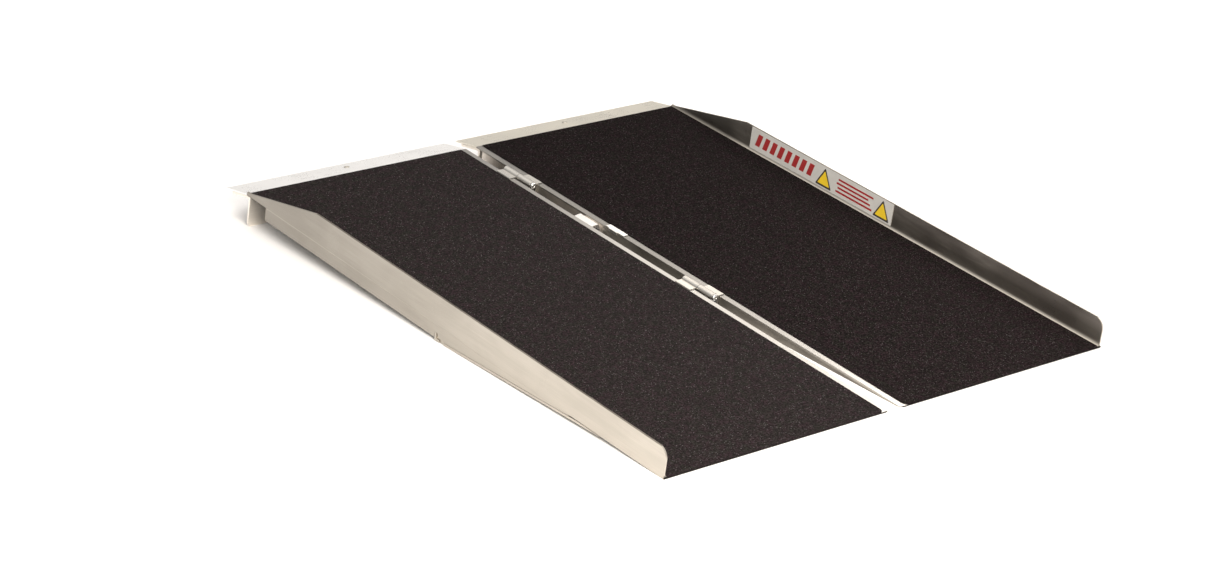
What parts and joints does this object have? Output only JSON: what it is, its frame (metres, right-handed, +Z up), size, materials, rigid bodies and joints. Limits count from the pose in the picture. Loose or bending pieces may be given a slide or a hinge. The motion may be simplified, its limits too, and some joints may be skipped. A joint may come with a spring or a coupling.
{
  "type": "portable wheelchair ramp",
  "caption": "Single-fold aluminium wheelchair ramp with grit tread, upturned side curbs and sloping top lips, whose halves are hinged along the middle and fold together deck to deck.",
  "frame": {"origin": "centre of the footprint at floor level, with the ramp opened out and standing on its low edge and the feet of its two risers", "axes": "+Y from the low end up to the landing end, +Z up, +X to the right-hand side when looking up the ramp"},
  "size_m": [0.762, 0.9136, 0.0754],
  "materials": {
    "mill_aluminium": "mill-finish rolled sheet, fine brushed grain along the ramp",
    "bright_aluminium": "brushed plate, a little brighter than the sheet",
    "rivet_aluminium": "smooth rivet heads",
    "zinc_steel": "bright zinc-plated steel",
    "grit": "coarse black mineral grit on film",
    "label": "satin printed film"
  },
  "bodies": {
    "left_half": {"left_deck_panel": "mill_aluminium", "left_grit_tape": "grit", "left_side_rail": "mill_aluminium", "left_taper_strip": "grit", "left_cross_member": "mill_aluminium", "left_rib": "mill_aluminium", "left_riser": "mill_aluminium", "left_lip_plate": "bright_aluminium", "left_lip_rivet": "rivet_aluminium", "lower_hinge_left_knuckle": "bright_aluminium", "lower_hinge_left_rivet_1": "rivet_aluminium", "lower_hinge_left_rivet_2": "rivet_aluminium", "upper_hinge_left_knuckle": "bright_aluminium", "upper_hinge_left_rivet_1": "rivet_aluminium", "upper_hinge_left_rivet_2": "rivet_aluminium", "lower_hinge_pin": "zinc_steel", "lower_hinge_push_nut": "zinc_steel", "upper_hinge_pin": "zinc_steel", "upper_hinge_push_nut": "zinc_steel", "stop_bracket": "bright_aluminium", "stop_bracket_rivet_1": "rivet_aluminium", "stop_bracket_rivet_2": "rivet_aluminium"},
    "right_half": {"right_deck_panel": "mill_aluminium", "right_grit_tape": "grit", "right_side_rail": "mill_aluminium", "right_taper_strip": "grit", "right_cross_member": "mill_aluminium", "right_rib": "mill_aluminium", "right_riser": "mill_aluminium", "right_lip_plate": "bright_aluminium", "right_lip_rivet": "rivet_aluminium", "lower_hinge_right_knuckle": "bright_aluminium", "lower_hinge_right_rivet_1": "rivet_aluminium", "lower_hinge_right_rivet_2": "rivet_aluminium", "upper_hinge_right_knuckle": "bright_aluminium", "upper_hinge_right_rivet_1": "rivet_aluminium", "upper_hinge_right_rivet_2": "rivet_aluminium", "edge_pad": "bright_aluminium", "curb_label": "label"}
  },
  "joints": [
    {"name": "fold", "type": "hinge", "parent": "left_half", "child": "right_half", "pos_m": [0, -0.02531, 0.02357], "axis": [0, -0.9987, -0.0509], "range_deg": [0, 168]}
  ]
}
